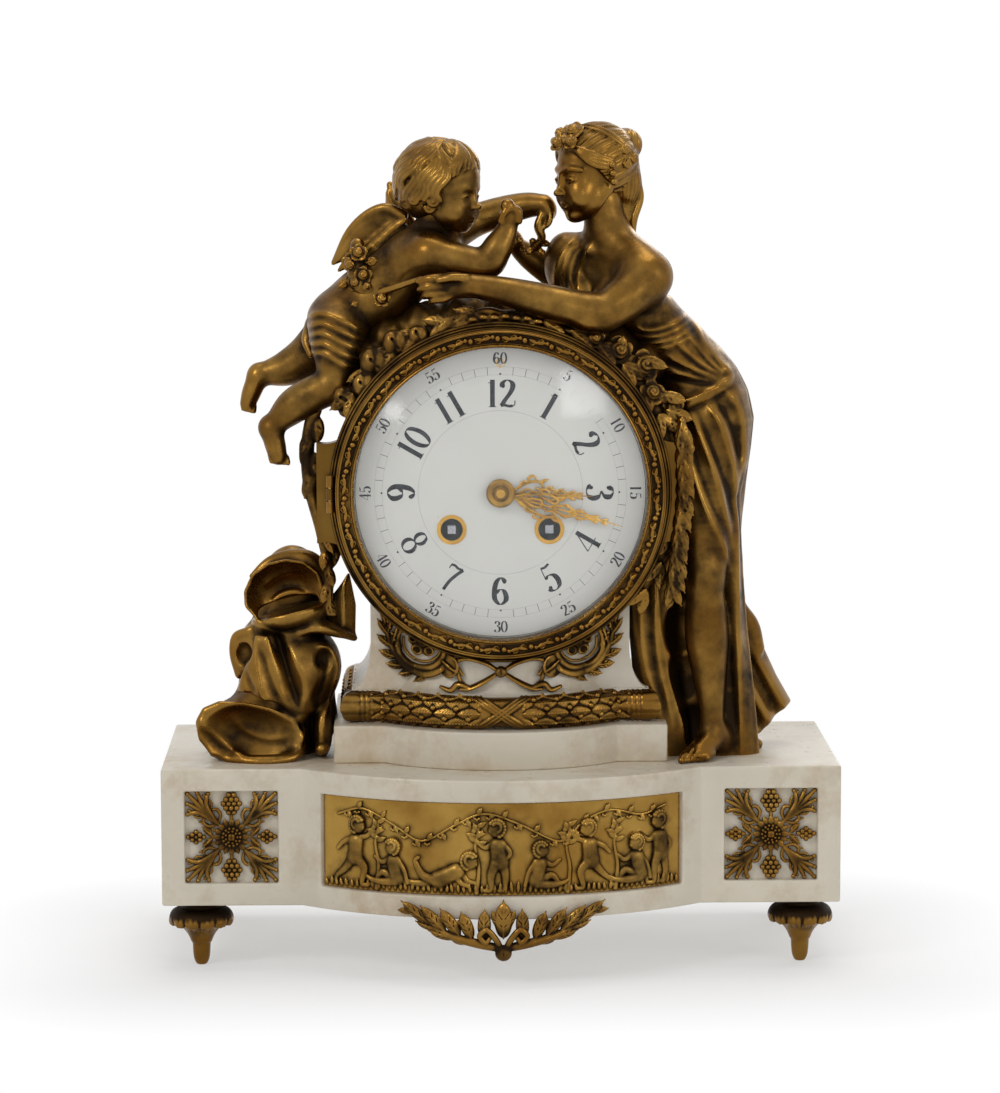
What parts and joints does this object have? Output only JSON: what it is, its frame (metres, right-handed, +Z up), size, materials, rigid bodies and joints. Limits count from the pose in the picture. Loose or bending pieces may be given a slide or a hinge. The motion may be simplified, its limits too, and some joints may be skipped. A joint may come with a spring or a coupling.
{
  "type": "figural mantel clock",
  "caption": "Mantel clock on a bowed marble base with turned feet: a draped standing figure and a winged child beside a drum with an enamel dial and a striking pendulum movement.",
  "frame": {"origin": "on the table under the middle of the clock's bounding box", "axes": "+X to the viewer's right, +Y to the back of the clock, +Z up"},
  "size_m": [0.284, 0.153, 0.357],
  "materials": {
    "marble": "polished white marble with warm staining",
    "gilt": "gilt bronze with dark recesses",
    "enamel": "fired white enamel on copper",
    "glass": "clear domed glass",
    "brass": "turned and lacquered brass",
    "steel": "polished steel",
    "spring": "blued steel",
    "bell_metal": "turned bell metal"
  },
  "bodies": {
    "case": {"acanthus_drop": "gilt", "back_plate": "brass", "bell": "bell_metal", "bell_stand": "steel", "case_straps": "brass", "corner_mount_left": "gilt", "corner_mount_right": "gilt", "dial": "enamel", "dial_feet": "brass", "dial_plate": "brass", "drapery_heap": "gilt", "drum_case": "gilt", "feet": "gilt", "frieze_plaque": "gilt", "front_plate": "brass", "garland": "gilt", "hinge_pins": "brass", "laurel_band": "gilt", "marble_base": "marble", "marble_pedestal": "marble", "marble_step": "marble", "nymph": "gilt", "nymph_far_arm": "gilt", "nymph_near_arm": "gilt", "plate_pillars": "brass", "putto": "gilt", "rear_bezel": "brass", "suspension_cock": "brass", "suspension_spring": "spring", "swag_mount": "gilt", "winding_grommets": "brass"},
    "bezel_door": {"bezel_ring": "gilt", "dial_glass": "glass"},
    "rear_door": {"rear_door": "brass"},
    "minute_work": {"centre_wheel": "brass", "cannon_pinion": "brass", "minute_hand": "gilt", "hand_nut": "gilt"},
    "hour_work": {"hour_wheel": "brass", "hour_hand": "gilt"},
    "motion_wheel": {"minute_wheel": "brass"},
    "going_second": {"second_wheel": "brass"},
    "going_drum": {"going_barrel": "brass", "going_mainspring": "spring"},
    "going_third": {"third_wheel": "brass"},
    "going_escape": {"escape_wheel": "brass"},
    "strike_drum": {"strike_barrel": "brass", "strike_mainspring": "spring"},
    "strike_second": {"strike_second_wheel": "brass", "count_wheel": "brass"},
    "strike_pins": {"pin_wheel": "brass"},
    "strike_brake": {"strike_fly": "brass"},
    "going_winder": {"going_arbor": "steel"},
    "strike_winder": {"strike_arbor": "steel"},
    "pendulum": {"pendulum_rod": "brass", "pendulum_bob": "brass", "anchor": "steel"},
    "strike_hammer": {"hammer": "steel"},
    "rate_regulator": {"regulator_arbor": "steel"}
  },
  "joints": [
    {"name": "bezel_hinge", "type": "hinge", "parent": "case", "child": "bezel_door", "pos_m": [-0.0706, -0.0335, 0.2005], "axis": [0, 0, -1], "range_deg": [0, 100]},
    {"name": "rear_door_hinge", "type": "hinge", "parent": "case", "child": "rear_door", "pos_m": [0.0661, 0.0623, 0.2005], "axis": [0, 0, -1], "range_deg": [0, 110]},
    {"name": "minute_turn", "type": "hinge", "parent": "case", "child": "minute_work", "pos_m": [0, 0, 0.2005], "axis": [0, 1, 0], "continuous": true},
    {"name": "hour_turn", "type": "hinge", "parent": "case", "child": "hour_work", "pos_m": [0, 0, 0.2005], "axis": [0, 1, 0], "continuous": true},
    {"name": "motion_wheel_turn", "type": "hinge", "parent": "case", "child": "motion_wheel", "pos_m": [0, 0, 0.2185], "axis": [0, 1, 0], "continuous": true},
    {"name": "second_wheel_turn", "type": "hinge", "parent": "case", "child": "going_second", "pos_m": [0.01699, 0, 0.20644], "axis": [0, 1, 0], "continuous": true},
    {"name": "going_barrel_turn", "type": "hinge", "parent": "case", "child": "going_drum", "pos_m": [0.0203, 0, 0.1851], "axis": [0, 1, 0], "continuous": true},
    {"name": "third_wheel_turn", "type": "hinge", "parent": "case", "child": "going_third", "pos_m": [-0.01047, 0, 0.21514], "axis": [0, 1, 0], "continuous": true},
    {"name": "escape_wheel_turn", "type": "hinge", "parent": "case", "child": "going_escape", "pos_m": [0, 0, 0.2275], "axis": [0, 1, 0], "continuous": true},
    {"name": "strike_barrel_turn", "type": "hinge", "parent": "case", "child": "strike_drum", "pos_m": [-0.0203, 0, 0.1851], "axis": [0, 1, 0], "continuous": true},
    {"name": "strike_second_turn", "type": "hinge", "parent": "case", "child": "strike_second", "pos_m": [-0.02769, 0, 0.2054], "axis": [0, 1, 0], "continuous": true},
    {"name": "pin_wheel_turn", "type": "hinge", "parent": "case", "child": "strike_pins", "pos_m": [-0.02894, 0, 0.21974], "axis": [0, 1, 0], "continuous": true},
    {"name": "fly_turn", "type": "hinge", "parent": "case", "child": "strike_brake", "pos_m": [-0.01969, 0, 0.23077], "axis": [0, 1, 0], "continuous": true},
    {"name": "going_winding", "type": "hinge", "parent": "case", "child": "going_winder", "pos_m": [0.0203, 0, 0.1851], "axis": [0, 1, 0], "continuous": true},
    {"name": "strike_winding", "type": "hinge", "parent": "case", "child": "strike_winder", "pos_m": [-0.0203, 0, 0.1851], "axis": [0, 1, 0], "continuous": true},
    {"name": "pendulum_swing", "type": "hinge", "parent": "case", "child": "pendulum", "pos_m": [0, 0, 0.2405], "axis": [0, 1, 0], "range_deg": [-4.5, 4.5]},
    {"name": "hammer_lift", "type": "hinge", "parent": "case", "child": "strike_hammer", "pos_m": [-0.04095, 0, 0.1985], "axis": [0, 1, 0], "range_deg": [0, 18]},
    {"name": "regulator_turn", "type": "hinge", "parent": "case", "child": "rate_regulator", "pos_m": [0, 0, 0.2545], "axis": [0, 1, 0], "range_deg": [-360, 360]}
  ],
  "couplings": [
    {"joint": "hour_turn", "follows": "minute_turn", "ratio": 0.083333},
    {"joint": "motion_wheel_turn", "follows": "minute_turn", "ratio": -0.33333},
    {"joint": "second_wheel_turn", "follows": "minute_turn", "ratio": -0.25},
    {"joint": "going_barrel_turn", "follows": "minute_turn", "ratio": 0.05},
    {"joint": "third_wheel_turn", "follows": "minute_turn", "ratio": -4},
    {"joint": "escape_wheel_turn", "follows": "minute_turn", "ratio": 14},
    {"joint": "strike_second_turn", "follows": "strike_barrel_turn", "ratio": -5},
    {"joint": "pin_wheel_turn", "follows": "strike_barrel_turn", "ratio": 15},
    {"joint": "fly_turn", "follows": "strike_barrel_turn", "ratio": -45}
  ]
}
